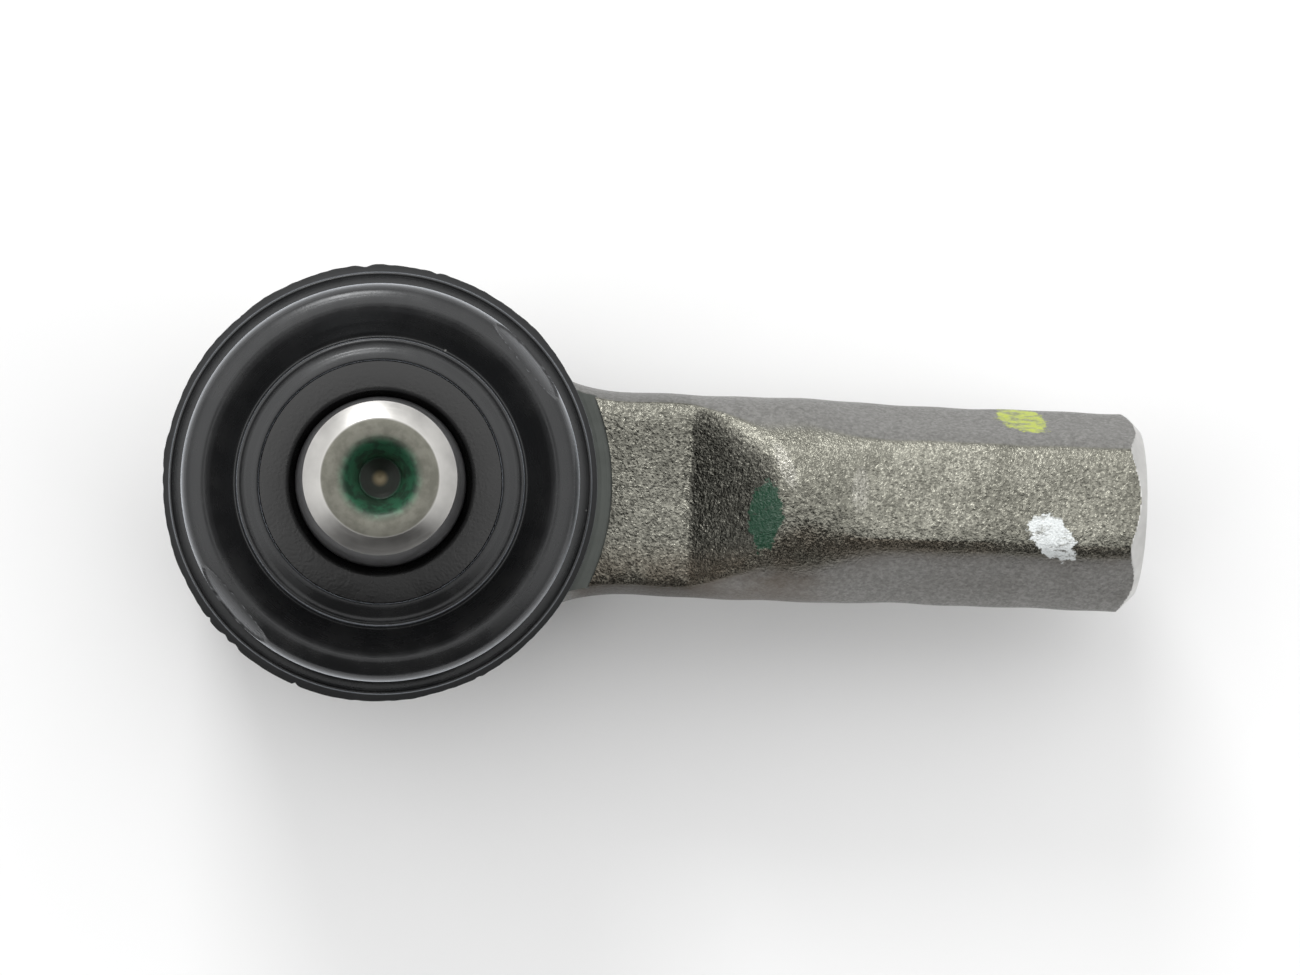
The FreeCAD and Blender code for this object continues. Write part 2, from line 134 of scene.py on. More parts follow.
def turned_ring(name, profile, columns, material):
    """A closed ring of that section."""
    grid = ring_grid(np.asarray(profile, float), columns)
    faces = grid_faces(len(profile), columns, True)
    return shape_mesh(name, grid.reshape(-1, 3), faces, material)


def outward(piece):
    """Face normals point out of the solid."""
    work = bmesh.new()
    work.from_mesh(piece.data)
    bmesh.ops.recalc_face_normals(work, faces=work.faces)
    work.to_mesh(piece.data)
    work.free()


def combine(piece, other, operation):
    """Apply a boolean with another object, which is then removed."""
    change = piece.modifiers.new("combine", "BOOLEAN")
    change.operation = operation
    change.solver = "MANIFOLD"
    change.object = other
    bpy.context.view_layer.update()
    solid = piece.evaluated_get(bpy.context.evaluated_depsgraph_get())
    mesh = bpy.data.meshes.new_from_object(solid)
    piece.modifiers.clear()
    piece.data = mesh
    bpy.data.objects.remove(other)


def soft_min(a, b, blend):
    """The smaller of two values, rounded where they cross."""
    share = np.maximum(blend - np.abs(a - b), 0.0) / blend
    return np.minimum(a, b) - share**2 * blend / 4


def soft_max(a, b, blend):
    """The larger of two values, rounded where they cross."""
    return -soft_min(-a, -b, blend)


def step_between(low, high, x):
    """0 below low, 1 above high, smooth between."""
    t = np.clip((x - low) / (high - low), 0, 1)
    return t * t * (3 - 2 * t)


# ---------------------------------------------------------------- materials

def new_material(name):
    """An empty node material with its Principled shader."""
    material = bpy.data.materials.new(name)
    material.use_nodes = True
    return material, material.node_tree, material.node_tree.nodes["Principled BSDF"]


def add(tree, kind, settings=(), **inputs):
    """One node. Inputs go by name, or by number as i0, i1; a socket is linked, anything else is a value."""
    node = tree.nodes.new(kind)
    for key, setting in dict(settings).items():
        setattr(node, key, setting)
    for key, source in inputs.items():
        by_number = key[0] == "i" and key[1:].isdigit()
        socket = node.inputs[int(key[1:]) if by_number else key.replace("_", " ")]
        if isinstance(source, bpy.types.NodeSocket):
            tree.links.new(source, socket)
        else:
            socket.default_value = source
    return node


def maths(tree, operation, *sources, kind="ShaderNodeMath"):
    """A Math node's result."""
    inputs = {"i%d" % place: source for place, source in enumerate(sources)}
    return add(tree, kind, {"operation": operation}, **inputs).outputs[0]


def vector_maths(tree, operation, *sources):
    """A Vector Math node's result."""
    return maths(tree, operation, *sources, kind="ShaderNodeVectorMath")


def times(tree, first, second):
    """The product of two values."""
    return maths(tree, "MULTIPLY", first, second)


def mapped(tree, source, low, high, start=0.0, end=1.0):
    """A value carried smoothly from one range to another, and kept inside it."""
    node = add(tree, "ShaderNodeMapRange", {"interpolation_type": "SMOOTHSTEP"}, Value=source)
    node.inputs["From Min"].default_value = low
    node.inputs["From Max"].default_value = high
    node.inputs["To Min"].default_value = start
    node.inputs["To Max"].default_value = end
    return node.outputs[0]


def blended(tree, share, first, second):
    """A mix of two colours."""
    node = add(tree, "ShaderNodeMix", {"data_type": "RGBA"})
    for place, source in ((0, share), (6, first), (7, second)):
        if isinstance(source, bpy.types.NodeSocket):
            tree.links.new(source, node.inputs[place])
        else:
            node.inputs[place].default_value = source
    return node.outputs[2]


def noise(tree, place, size, detail=2.0, roughness=0.5):
    """Noise whose lumps are about size metres across."""
    node = add(tree, "ShaderNodeTexNoise", Vector=place, Scale=1 / size, Detail=detail, Roughness=roughness)
    return node.outputs["Fac"]


def place_of(tree):
    """The object's own coordinates, and their X, Y and Z."""
    place = add(tree, "ShaderNodeTexCoord").outputs["Object"]
    axes = add(tree, "ShaderNodeSeparateXYZ", Vector=place).outputs
    return place, axes[0], axes[1], axes[2]


def radius_of(tree, a, b):
    """Distance from an axis, from the two coordinates across it."""
    squares = maths(tree, "ADD", times(tree, a, a), times(tree, b, b))
    return maths(tree, "SQRT", squares)


def bumped(tree, shader, height, distance):
    """Relief on a shader."""
    node = add(tree, "ShaderNodeBump", Height=height, Distance=distance, Strength=1.0)
    tree.links.new(node.outputs[0], shader.inputs["Normal"])


def blot(tree, x, y, centre, half, turn, ragged):
    """1 inside a ragged oval seen from above, 0 outside. Lengths in millimetres."""
    across = maths(tree, "SUBTRACT", x, centre[0] * MM)
    along = maths(tree, "SUBTRACT", y, centre[1] * MM)
    c, s = math.cos(math.radians(turn)), math.sin(math.radians(turn))
    u = maths(tree, "ADD", times(tree, across, c), times(tree, along, s))
    v = maths(tree, "SUBTRACT", times(tree, along, c), times(tree, across, s))
    u = maths(tree, "DIVIDE", u, half[0] * MM)
    v = maths(tree, "DIVIDE", v, half[1] * MM)
    edge = maths(tree, "ADD", radius_of(tree, u, v), maths(tree, "MULTIPLY_ADD", ragged, 1.3, -0.65))
    return mapped(tree, edge, 1.06, 0.94)


# Each patch and mark is an oval: its centre, half sizes and turn in degrees, as blot() takes them.
# These patches are painted highlights, where the shank's rounded top runs into the slope and into the hex's
# top flat.
PAINTED_HIGHLIGHT_PATCHES = (
    ((49.0, 1.2), (0.9, 2.4), 0),
    ((41.2, 3.4), (0.8, 2.6), 25),
)
# A mark has its colour too, and the noise at which its paint is thinnest and thickest.
PAINT_MARKS = (
    ((39.4, -1.9), (1.65, 3.4), -4, (0.003, 0.042, 0.018, 1), (0.25, 0.44)),
    ((66.4, 9.3), (2.7, 1.3), -10, (0.34, 0.40, 0.030, 1), (0.38, 0.58)),
    ((68.9, -2.8), (1.7, 3.1), 44, (0.70, 0.73, 0.73, 1), (0.36, 0.50)),
)
OLIVE_DARK, OLIVE_LIGHT = (0.172, 0.169, 0.143, 1), (0.222, 0.218, 0.186, 1)
GREY_DARK, GREY_LIGHT = (0.196, 0.193, 0.184, 1), (0.246, 0.243, 0.233, 1)
# Painted highlight, painted shade on the slope that faces the head, painted shade on the neck.
PAINTED_HIGHLIGHT, PAINTED_SLOPE_SHADE, PAINTED_NECK_SHADE = (0.42, 0.41, 0.37, 1), (0.030, 0.029, 0.026, 1), (0.055, 0.055, 0.050, 1)
# Brown tint mixed with painted shade, along the lower side and under the neck.
BROWN_AND_SHADE, BROWN_AND_SHADE_UNDER = (0.105, 0.078, 0.054, 1), (0.050, 0.042, 0.032, 1)


def tints_and_painted_light(tree, steel, x, y, normal_x, normal_y, fine, broad):
    """Painted highlights as two bright patches, painted shade on the slope that faces the head and on the
    duller neck next to the head, and brown mixed with painted shade along the lower side.
    """
    for centre, half, turn in PAINTED_HIGHLIGHT_PATCHES:
        # Painted highlight on each patch.
        highlight = times(tree, blot(tree, x, y, centre, half, turn, fine), 0.6)
        highlight = times(tree, highlight, mapped(tree, fine, 0.35, 0.6))
        steel = blended(tree, highlight, steel, PAINTED_HIGHLIGHT)
    # Painted shade and painted reflection of the dark boot, on the slope that faces the head.
    shade_facing_head = times(tree, mapped(tree, normal_x, -0.24, -0.40), mapped(tree, x, 0.030, 0.031))
    steel = blended(tree, times(tree, shade_facing_head, 0.62), steel, PAINTED_SLOPE_SHADE)
    on_shank = mapped(tree, x, 0.0195, 0.0215)
    # Brown tint mixed with painted shade along the lower side: a band below the axis and the edges leaning
    # towards -Y.
    brown_shade_band = times(tree, mapped(tree, y, -0.0040, -0.0085), mapped(tree, x, 0.050, 0.042))
    lower_edge = times(tree, mapped(tree, normal_y, -0.14, -0.34), mapped(tree, normal_y, -0.84, -0.60))
    brown_and_shade = maths(tree, "MAXIMUM", brown_shade_band, lower_edge)
    brown_and_shade = times(tree, brown_and_shade, mapped(tree, broad, 0.30, 0.62, 0.18, 0.62))
    steel = blended(tree, times(tree, brown_and_shade, on_shank), steel, BROWN_AND_SHADE)
    # Brown tint mixed with painted shade under the neck.
    brown_shade_under = times(tree, mapped(tree, y, -0.0088, -0.0098), mapped(tree, x, 0.037, 0.031))
    brown_shade_under = times(tree, brown_shade_under, on_shank)
    steel = blended(tree, times(tree, brown_shade_under, 0.6), steel, BROWN_AND_SHADE_UNDER)
    # Painted shade on the neck and head next to the boot.
    return blended(tree, mapped(tree, x, 0.0325, 0.0310, 0.0, 0.22), steel, PAINTED_NECK_SHADE)


def paint_marks(tree, steel, place, x, y, z):
    """The steel's colour with its paint marks, and how far they cover it."""
    above = mapped(tree, z, 0.0165, 0.0172)
    ragged = noise(tree, place, 0.0014, 4.0, 0.75)
    brushed = vector_maths(tree, "MULTIPLY", place, (0.45, 1.3, 1.0))
    thin = noise(tree, brushed, 0.0007, 4.0, 0.75)
    covered = 0.0
    for centre, half, turn, colour, (low, high) in PAINT_MARKS:
        spot = times(tree, blot(tree, x, y, centre, half, turn, ragged), above)
        share = times(tree, spot, mapped(tree, thin, low, high, 0.30, 0.97))
        steel = blended(tree, share, steel, colour)
        covered = maths(tree, "MAXIMUM", share, covered)
    return steel, covered


def forged_steel():
    """Shot-blasted forging: sparkling grain on the faces the blast hit, smoother sides, and paint marks."""
    material, tree, shader = new_material("forged_steel")
    place, x, y, z = place_of(tree)
    normal = add(tree, "ShaderNodeTexCoord").outputs["Normal"]
    normal_x, normal_y, normal_z = add(tree, "ShaderNodeSeparateXYZ", Vector=normal).outputs[:3]
    blasted = mapped(tree, maths(tree, "ABSOLUTE", normal_z), 0.60, 0.84, 0.25, 1.0)
    drift = add(tree, "ShaderNodeTexNoise", Vector=place, Scale=1 / 0.0006).outputs["Color"]
    wander = vector_maths(tree, "MULTIPLY_ADD", drift, (0.0003, 0.0003, 0.0003), place)
    chips = add(tree, "ShaderNodeTexVoronoi", Vector=wander, Scale=1 / 0.00028)
    chip_colour = chips.outputs["Color"]
    chip_shade = add(tree, "ShaderNodeSeparateColor", Color=chip_colour).outputs[1]
    fine = noise(tree, place, 0.00024, 2.0, 0.6)
    medium = noise(tree, place, 0.00055, 2.0, 0.5)
    broad = noise(tree, place, 0.006, 3.0, 0.55)

    olive = blended(tree, mapped(tree, broad, 0.35, 0.65), OLIVE_DARK, OLIVE_LIGHT)
    side = blended(tree, mapped(tree, medium, 0.3, 0.7), GREY_DARK, GREY_LIGHT)
    steel = blended(tree, mapped(tree, blasted, 0.3, 0.9), side, olive)
    shade = maths(tree, "ADD", times(tree, chip_shade, 0.5), times(tree, fine, 0.5))
    speckle = mapped(tree, blasted, 0.25, 1.0, 0.6, 1.0)
    shade = maths(tree, "MULTIPLY_ADD", mapped(tree, shade, 0.3, 0.7, -0.17, 0.22), speckle, 1.0)
    steel = vector_maths(tree, "MULTIPLY", steel, shade)
    steel = tints_and_painted_light(tree, steel, x, y, normal_x, normal_y, fine, broad)
    steel, covered = paint_marks(tree, steel, place, x, y, z)
    tree.links.new(steel, shader.inputs["Base Color"])
    tree.links.new(mapped(tree, covered, 0.0, 1.0, 1.0, 0.0), shader.inputs["Metallic"])

    rough = mapped(tree, fine, 0.3, 0.7, 0.31, 0.21)
    rough = maths(tree, "MULTIPLY_ADD", maths(tree, "SUBTRACT", 1.0, blasted), 0.22, rough)
    tree.links.new(rough, shader.inputs["Roughness"])
    relief = maths(tree, "ADD", fine, times(tree, medium, 0.7))
    relief = times(tree, relief, blasted)
    bump = add(tree, "ShaderNodeBump", Height=relief, Distance=0.00013, Strength=1.0)
    tilt = vector_maths(tree, "SUBTRACT", chip_colour, (0.5, 0.5, 0.5))
    tilt_scale = times(tree, blasted, 0.26)
    tilt = add(tree, "ShaderNodeVectorMath", {"operation": "SCALE"}, i0=tilt, i3=tilt_scale).outputs[0]
    facet = vector_maths(tree, "NORMALIZE", vector_maths(tree, "ADD", bump.outputs[0], tilt))
    tree.links.new(facet, shader.inputs["Normal"])
    return material


def turned_steel(name, colour, rough, line_size, line_height, axis="Z"):
    """Lathe-turned metal: fine rings about the stud's axis, or about the shank's with axis X."""
    material, tree, shader = new_material(name)
    place, x, y, z = place_of(tree)
    if axis == "Z":
        radius, along = radius_of(tree, x, y), z
    else:
        radius, along = radius_of(tree, y, maths(tree, "SUBTRACT", z, BALL_HEIGHT * MM)), x
    rings_at = add(tree, "ShaderNodeCombineXYZ", X=radius, Y=0.0, Z=along).outputs[0]
    rings = noise(tree, rings_at, line_size, 3.0, 0.7)
    cloud = noise(tree, place, 0.004, 3.0, 0.6)
    dark = tuple(part * 0.78 for part in colour) + (1,)
    tint = blended(tree, mapped(tree, cloud, 0.3, 0.7), dark, (*colour, 1))
    tree.links.new(tint, shader.inputs["Base Color"])
    shader.inputs["Metallic"].default_value = 1.0
    streaks = maths(tree, "ADD", times(tree, rings, 0.6), times(tree, cloud, 0.4))
    tree.links.new(mapped(tree, streaks, 0.3, 0.7, rough * 0.8, rough * 1.25), shader.inputs["Roughness"])
    bumped(tree, shader, rings, line_height)
    return material, tree, shader, tint, place, radius, along


def stud_steel():
    """Bright turned tip over a darker thread and taper, with green paint in the tip's turning centre and
    painted shade deep in its hole.
    """
    material, tree, shader, tint, place, radius, height = turned_steel(
        "machined_steel", (0.52, 0.51, 0.49), 0.34, 0.00018, 0.000005
    )
    tip = (BALL_HEIGHT + STUD_REACH) * MM
    # The thread and taper are darker below the tip's chamfer.
    darker_below_tip = mapped(tree, height, tip - 0.00165, tip - 0.00195)
    tint = blended(tree, times(tree, darker_below_tip, 0.80), tint, (0.060, 0.062, 0.072, 1))
    at_tip = mapped(tree, height, tip - 0.0052, tip - 0.0048)
    flat = times(tree, mapped(tree, radius, 0.00550, 0.00525), at_tip)
    cloud = noise(tree, place, 0.0014, 3.0, 0.6)
    dull_dark, dull_light = (0.140, 0.138, 0.116, 1), (0.185, 0.182, 0.155, 1)
    dull = blended(tree, mapped(tree, cloud, 0.35, 0.65), dull_dark, dull_light)
    tint = blended(tree, flat, tint, dull)
    wet = times(tree, mapped(tree, radius, 0.0042, 0.0031), at_tip)
    green_dark, green_light = (0.006, 0.034, 0.018, 1), (0.012, 0.095, 0.046, 1)
    green = blended(tree, mapped(tree, cloud, 0.4, 0.6), green_dark, green_light)
    tint = blended(tree, times(tree, wet, 0.92), tint, green)
    # Painted shade deep in the tip's hole.
    shaded_hole_bottom = times(tree, mapped(tree, radius, 0.0020, 0.0017), at_tip)
    tint = blended(tree, times(tree, shaded_hole_bottom, 0.95), tint, (0.010, 0.011, 0.008, 1))
    drill_point = times(tree, mapped(tree, radius, 0.0009, 0.0003), at_tip)
    tint = blended(tree, times(tree, drill_point, 0.8), tint, (0.20, 0.16, 0.09, 1))
    tree.links.new(tint, shader.inputs["Base Color"])
    tree.links.new(mapped(tree, wet, 0.0, 1.0, 1.0, 0.35), shader.inputs["Metallic"])
    rough = shader.inputs["Roughness"].links[0].from_socket
    tree.links.new(maths(tree, "MULTIPLY_ADD", flat, 0.10, rough), shader.inputs["Roughness"])
    return material


def boot_rubber():
    """Moulded black rubber: a soft gloss, faint ring marks from its mould, a bluish bloom, a little dust."""
    material, tree, shader = new_material("boot_rubber")
    place, x, y, z = place_of(tree)
    radius = radius_of(tree, x, y)
    rings_at = add(tree, "ShaderNodeCombineXYZ", X=radius, Y=0.0, Z=z).outputs[0]
    rings = noise(tree, rings_at, 0.0005, 3.0, 0.6)
    film = noise(tree, place, 0.005, 4.0, 0.6)
    pores = noise(tree, place, 0.00025, 2.0)
    dust = add(tree, "ShaderNodeTexVoronoi", Vector=place, Scale=1 / 0.0030)
    dust_cell = add(tree, "ShaderNodeSeparateColor", Color=dust.outputs["Color"]).outputs[0]
    rare = maths(tree, "GREATER_THAN", dust_cell, 0.70)
    speck = times(tree, mapped(tree, dust.outputs["Distance"], 0.05, 0.02), rare)
    black_dark, black_light = (0.0080, 0.0080, 0.0082, 1), (0.0145, 0.0145, 0.0145, 1)
    black = blended(tree, mapped(tree, film, 0.35, 0.7), black_dark, black_light)
    tree.links.new(blended(tree, speck, black, (0.22, 0.22, 0.21, 1)), shader.inputs["Base Color"])
    streaked = maths(tree, "ADD", times(tree, film, 0.6), times(tree, rings, 0.4))
    torn = times(tree, mapped(tree, radius, 0.0214, 0.0216), mapped(tree, z, 0.0285, 0.0280))
    rough = mapped(tree, streaked, 0.35, 0.68, 0.19, 0.36)
    tree.links.new(maths(tree, "MULTIPLY_ADD", torn, 0.55, rough), shader.inputs["Roughness"])
    shader.inputs["Specular Tint"].default_value = (0.97, 0.985, 1.0, 1)
    shader.inputs["Specular IOR Level"].default_value = 0.50
    shader.inputs["Sheen Weight"].default_value = 0.60
    shader.inputs["Sheen Roughness"].default_value = 0.35
    shader.inputs["Sheen Tint"].default_value = (0.80, 0.86, 0.95, 1)
    relief = maths(tree, "ADD", times(tree, rings, 0.8), times(tree, pores, 0.3))
    bumped(tree, shader, relief, 0.000022)
    return material


def plastic(name, light, dark, rough):
    """Moulded plastic with a fine grain and slight shading."""
    material, tree, shader = new_material(name)
    place = place_of(tree)[0]
    cloud = noise(tree, place, 0.003, 3.0)
    tint = blended(tree, mapped(tree, cloud, 0.3, 0.7), (*dark, 1), (*light, 1))
    tree.links.new(tint, shader.inputs["Base Color"])
    tree.links.new(mapped(tree, cloud, 0.3, 0.7, rough, rough + 0.1), shader.inputs["Roughness"])
    bumped(tree, shader, noise(tree, place, 0.0003, 2.0), 0.00002)
    return material


FORGED = forged_steel()
STUD_STEEL = stud_steel()
LEDGE_STEEL = turned_steel("ledge_steel", (0.108, 0.116, 0.108), 0.36, 0.0003, 0.00002)[0]
END_STEEL = turned_steel("end_steel", (0.62, 0.615, 0.60), 0.34, 0.00025, 0.00001, axis="X")[0]
RIM_STEEL = turned_steel("rim_steel", (0.30, 0.295, 0.275), 0.45, 0.0006, 0.00003)[0]
PLATED = turned_steel("plated_steel", (0.46, 0.44, 0.36), 0.38, 0.0008, 0.00002)[0]
SPRING = turned_steel("spring_steel", (0.22, 0.22, 0.24), 0.35, 0.0004, 0.00001)[0]
RUBBER = boot_rubber()
ACETAL = plastic("bearing_plastic", (0.80, 0.79, 0.72), (0.72, 0.71, 0.64), 0.40)
SLIDE_PLASTIC = plastic("slide_ring_plastic", (0.0085, 0.0085, 0.0084), (0.0060, 0.0060, 0.0059), 0.22)


# ---------------------------------------------------------------- housing

NECK_ABOVE, NECK_BELOW = 5.0, 8.0
SLOPE_START, SLOPE_ABOVE, SLOPE_BELOW = 31.8, 9.0, 5.0
HEX_APOTHEM, HEX_ROLL, FLAT_START, FLAT_RUNOUT = 9.5, -7.5, 51.0, 6.0
SHANK_RADIUS, SHANK_END_RADIUS = 10.45, 10.75
END_CHAMFER = 1.95
HEAD_RADIUS, BASE_ROUND, ROOT_SWEEP = 20.5, 2.0, 15.0
HEAD_COLUMNS = 240
RIM_RADIUS, RIM_THICKNESS, COVER_RADIUS, COVER_TOP = 14.6, 1.2, 17.0, 2.8
CAVITY_RADIUS, SHOULDER_HEIGHT, MOUTH_RADIUS, MOUTH_HEIGHT, FLARE_RADIUS = 15.0, 4.5, 11.2, 7.8, 14.2
SEAT_HEIGHT, COLLAR_RADIUS, COLLAR_TOP = 9.0, 17.8, 12.5
LEDGE_HEIGHT, LEDGE_RADIUS = 4.3, 23.8
BORE_RADIUS, BORE_MOUTH, BORE_LENGTH = 6.188, 1.1, 38.0
THREAD_PITCH, THREAD_DEPTH = 1.5, 0.81
ROWS_NEAR, ROWS_FINE = 0.42, 0.12


def unevenness(x, turn):
    """Slow waves over a forged surface, in millimetres."""
    short = 0.035 * np.sin(x * 0.9 + 2 * turn)
    long = 0.03 * np.sin(x * 0.47 - 3 * turn + 1)
    return short + long + 0.02 * np.sin(5 * turn + 0.3 * x)


def shank_radius(x, turn):
    """Distance from the shank's axis to its surface at stations x and angles turn, which start from +Y."""
    up, down = np.sin(turn), -np.sin(turn)
    radius = SHANK_RADIUS + (SHANK_END_RADIUS - SHANK_RADIUS) * x / SHANK_REACH + 0 * turn
    rise = (SHANK_RADIUS - NECK_ABOVE) / SLOPE_ABOVE
    top = soft_max(NECK_ABOVE + 0 * x, NECK_ABOVE + rise * (x - SLOPE_START), 0.4)
    fall = (SHANK_RADIUS - NECK_BELOW) / SLOPE_BELOW
    bottom = soft_max(NECK_BELOW + 0 * x, NECK_BELOW + fall * (x - SLOPE_START), 0.8)
    for height, lean in ((top, up), (bottom, down)):
        reach = np.where(lean > 0.05, height / np.maximum(lean, 0.05), 1e3)
        radius = soft_min(radius, reach, 2.0)
    ramp = (SHANK_END_RADIUS - HEX_APOTHEM) / FLAT_RUNOUT
    flat = soft_max(HEX_APOTHEM + 0 * x, HEX_APOTHEM + ramp * (FLAT_START - x), 0.5)
    for side in range(6):
        lean = np.cos(turn - math.radians(90 + HEX_ROLL + 60 * side))
        reach = np.where(lean > 0.5, flat / np.maximum(lean, 0.5), 1e3)
        radius = soft_min(radius, reach, 1.1)
    radius = radius + unevenness(x, turn)
    return np.minimum(radius, SHANK_END_RADIUS - END_CHAMFER + SHANK_REACH - x)


def thread_height(along, turn, depth):
    """Height of a helical thread's flank, 0 in its root and depth at its crest."""
    phase = (along / THREAD_PITCH - turn / (2 * math.pi)) % 1.0
    flank = np.abs(phase - 0.5) * 2
    return depth * np.clip((flank - 0.14) / 0.72, 0, 1)


def shank_mesh():
    """The shank as rings about its axis: outside from head to end face, then back down the threaded bore."""
    columns = 216
    turn = np.linspace(0, 2 * math.pi, columns, endpoint=False)[None, :]
    near_end = SHANK_REACH - 2.4
    outside = np.concatenate([
        np.arange(8.0, near_end, ROWS_NEAR), np.arange(near_end, SHANK_REACH + 0.01, ROWS_FINE)
    ])[:, None]
    radius = shank_radius(outside, turn)
    spread_from = math.sqrt((HEAD_RADIUS + ROOT_SWEEP) ** 2 - (SHANK_RADIUS + ROOT_SWEEP) ** 2)
    touches_head = spread_from * HEAD_RADIUS / (HEAD_RADIUS + ROOT_SWEEP)
    inset = np.clip(spread_from - outside, 0, spread_from - touches_head)
    spread = 1 + (ROOT_SWEEP - np.sqrt(ROOT_SWEEP**2 - inset**2)) / SHANK_RADIUS
    outer = np.stack([outside + 0 * turn, radius * np.cos(turn) * spread, radius * np.sin(turn)], axis=2)
    mouth = SHANK_REACH - np.array([0.0, 0.0, BORE_MOUTH])[:, None]
    countersunk = BORE_RADIUS + BORE_MOUTH
    mouth_radius = np.array([countersunk + 0.12, countersunk, BORE_RADIUS])[:, None]
    full = SHANK_REACH - np.arange(BORE_MOUTH + ROWS_FINE, BORE_LENGTH, THREAD_PITCH / 8)[:, None]
    run_in = step_between(SHANK_REACH - BORE_MOUTH, SHANK_REACH - BORE_MOUTH - 1.5, full)
    run_out = step_between(SHANK_REACH - BORE_LENGTH, SHANK_REACH - BORE_LENGTH + 3.0, full)
    cut = BORE_RADIUS + thread_height(full, turn, THREAD_DEPTH) * run_in * run_out
    bottom = np.array([[SHANK_REACH - BORE_LENGTH - 0.2]])
    inner_x = np.concatenate([mouth, full, bottom, bottom - BORE_RADIUS / 2 + 0.2])
    inner_radius = np.concatenate([
        mouth_radius + 0 * turn, cut, BORE_RADIUS + 0 * turn, 0.05 + 0 * turn
    ])
    inner = np.stack([inner_x + 0 * turn, inner_radius * np.cos(turn), inner_radius * np.sin(turn)], axis=2)
    return capped_grid(np.concatenate([outer, inner]))


def head_grid():
    """The head as rings about the stud's axis, its forged side swelling slightly to the parting line."""
    low = -BALL_HEIGHT
    base_edge = HEAD_RADIUS - BASE_ROUND
    outline = [(ON_AXIS, low), (base_edge - 0.3, low)]
    outline += [
        (base_edge + BASE_ROUND * math.sin(a), low + BASE_ROUND * (1 - math.cos(a)))
        for a in np.linspace(0.1, math.pi / 2, 9)
    ]
    outline += [(HEAD_RADIUS, height) for height in np.linspace(low + 3, SEAT_HEIGHT - 0.5, 40)]
    outline += [
        (HEAD_RADIUS - 0.3, SEAT_HEIGHT), (COLLAR_RADIUS, SEAT_HEIGHT), (COLLAR_RADIUS, COLLAR_TOP - 0.3),
        (COLLAR_RADIUS - 0.3, COLLAR_TOP), (ON_AXIS, COLLAR_TOP),
    ]
    grid = ring_grid(np.array(outline), HEAD_COLUMNS)
    turn = np.linspace(0, 2 * math.pi, HEAD_COLUMNS, endpoint=False)[None, :]
    height = grid[:, :, 2]
    as_forged = step_between(low + 2.5, low + 5, height)
    as_forged = as_forged * step_between(LEDGE_HEIGHT, LEDGE_HEIGHT - 2, height)
    parting = 0.25 * np.exp(-((height / 0.8) ** 2))
    swell = 1 + as_forged * (parting + 0.5 * unevenness(height, turn)) / HEAD_RADIUS
    grid[:, :, 0] *= swell
    grid[:, :, 1] *= swell
    return grid


def housing():
    """Head and shank in one forging, with the bearing bore and the boot ledge turned into it."""
    low = -BALL_HEIGHT
    head = shape_mesh("housing_forging", *capped_grid(head_grid()), FORGED)
    outward(head)
    shank = shape_mesh("shank", *shank_mesh(), FORGED)
    outward(shank)
    combine(head, shank, "UNION")
    cavity = turned_ring("cavity", [
        (ON_AXIS, low - 1), (RIM_RADIUS, low - 1),
        (RIM_RADIUS, low + RIM_THICKNESS), (COVER_RADIUS, low + RIM_THICKNESS),
        (COVER_RADIUS, low + COVER_TOP), (CAVITY_RADIUS, low + COVER_TOP),
        (CAVITY_RADIUS, SHOULDER_HEIGHT), (MOUTH_RADIUS, MOUTH_HEIGHT),
        (FLARE_RADIUS, COLLAR_TOP), (FLARE_RADIUS, COLLAR_TOP + 1), (ON_AXIS, COLLAR_TOP + 1),
    ], 120, FORGED)
    outward(cavity)
    combine(head, cavity, "DIFFERENCE")
    ledge = turned_ring("ledge", [
        (HEAD_RADIUS, LEDGE_HEIGHT), (LEDGE_RADIUS, LEDGE_HEIGHT), (LEDGE_RADIUS, 12), (HEAD_RADIUS, 12),
    ], HEAD_COLUMNS, FORGED)
    outward(ledge)
    combine(head, ledge, "DIFFERENCE")
    mesh = head.data
    mesh.materials.clear()
    for material in (FORGED, LEDGE_STEEL, END_STEEL, RIM_STEEL):
        mesh.materials.append(material)
    mesh.shade_smooth()
    mesh.set_sharp_from_angle(angle=math.radians(32))
    for face in mesh.polygons:
        face.material_index = turned_face(face.center / MM - Vector((0, 0, BALL_HEIGHT)))
    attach(head, "housing")
    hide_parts("housing")


def turned_face(centre):
    """Which material a face has: 0 as forged, 1 the boot ledge, 2 the shank's end, 3 the rolled rim."""
    from_stud = math.hypot(centre.x, centre.y)
    from_shank = math.hypot(centre.y, centre.z)
    if from_stud < COVER_RADIUS or centre.z < RIM_THICKNESS + 0.2 - BALL_HEIGHT:
        return 3
    if centre.z > LEDGE_HEIGHT - 0.05 and from_stud < LEDGE_RADIUS + 0.02:
        return 1
    at_chamfer = from_shank + centre.x > SHANK_REACH + SHANK_END_RADIUS - END_CHAMFER - 0.08
    in_thread = from_shank < BORE_RADIUS + THREAD_DEPTH + 0.1
    in_bore = centre.x > SHANK_REACH - BORE_LENGTH - 5 and in_thread
    in_mouth = centre.x > SHANK_REACH - BORE_MOUTH and from_shank < BORE_RADIUS + BORE_MOUTH + 0.2
    return 2 if at_chamfer or in_bore or in_mouth else 0


# ---------------------------------------------------------------- ball stud

